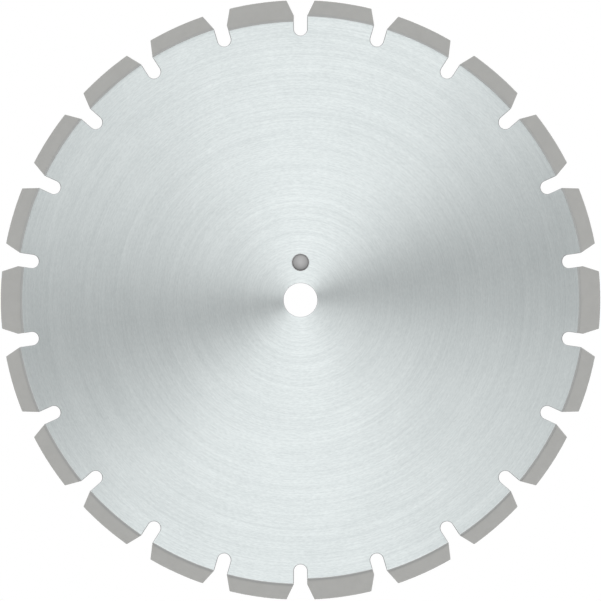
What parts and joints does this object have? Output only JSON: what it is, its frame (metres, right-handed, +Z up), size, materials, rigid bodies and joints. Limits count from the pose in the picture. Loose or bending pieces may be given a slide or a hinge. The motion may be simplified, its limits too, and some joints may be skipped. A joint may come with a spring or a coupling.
{
  "type": "segmented diamond saw blade",
  "caption": "Round steel saw blade with a central bore, round-bottomed gullets and diamond segments on its rim, some of them deeper against undercutting.",
  "frame": {"origin": "centre of the bore, half-way through the steel core", "axes": "the blade stands upright: +Y along the spin axis from the front face to the back, +Z up through the drive pin hole, +X to the right as seen from the front"},
  "size_m": [0.45, 0.0038, 0.4496],
  "materials": {
    "core_steel": "fine circular grinding grain, satin",
    "diamond_segment": "sintered metal powder with diamond grit, dry matte",
    "segment_foot": "sintered metal powder without diamond, ground, dull",
    "plug": "moulded, soft satin"
  },
  "bodies": {
    "blade": {"steel_core": "core_steel", "cutting_segment_01": "diamond_segment", "segment_foot_01": "segment_foot", "cutting_segment_02": "diamond_segment", "segment_foot_02": "segment_foot", "cutting_segment_03": "diamond_segment", "segment_foot_03": "segment_foot", "cutting_segment_04": "diamond_segment", "segment_foot_04": "segment_foot", "cutting_segment_05": "diamond_segment", "segment_foot_05": "segment_foot", "deep_segment_06": "diamond_segment", "segment_foot_06": "segment_foot", "cutting_segment_07": "diamond_segment", "segment_foot_07": "segment_foot", "cutting_segment_08": "diamond_segment", "segment_foot_08": "segment_foot", "cutting_segment_09": "diamond_segment", "segment_foot_09": "segment_foot", "cutting_segment_10": "diamond_segment", "segment_foot_10": "segment_foot", "deep_segment_11": "diamond_segment", "segment_foot_11": "segment_foot", "cutting_segment_12": "diamond_segment", "segment_foot_12": "segment_foot", "cutting_segment_13": "diamond_segment", "segment_foot_13": "segment_foot", "cutting_segment_14": "diamond_segment", "segment_foot_14": "segment_foot", "cutting_segment_15": "diamond_segment", "segment_foot_15": "segment_foot", "cutting_segment_16": "diamond_segment", "segment_foot_16": "segment_foot", "deep_segment_17": "diamond_segment", "segment_foot_17": "segment_foot", "cutting_segment_18": "diamond_segment", "segment_foot_18": "segment_foot", "cutting_segment_19": "diamond_segment", "segment_foot_19": "segment_foot", "cutting_segment_20": "diamond_segment", "segment_foot_20": "segment_foot", "cutting_segment_21": "diamond_segment", "segment_foot_21": "segment_foot", "deep_segment_22": "diamond_segment", "segment_foot_22": "segment_foot"},
    "plug": {"pin_hole_plug": "plug"}
  },
  "joints": [
    {"name": "plug_knock_out", "type": "slide", "parent": "blade", "child": "plug", "axis": [0, -1, 0], "range_m": [-0.01, 0.01]}
  ]
}
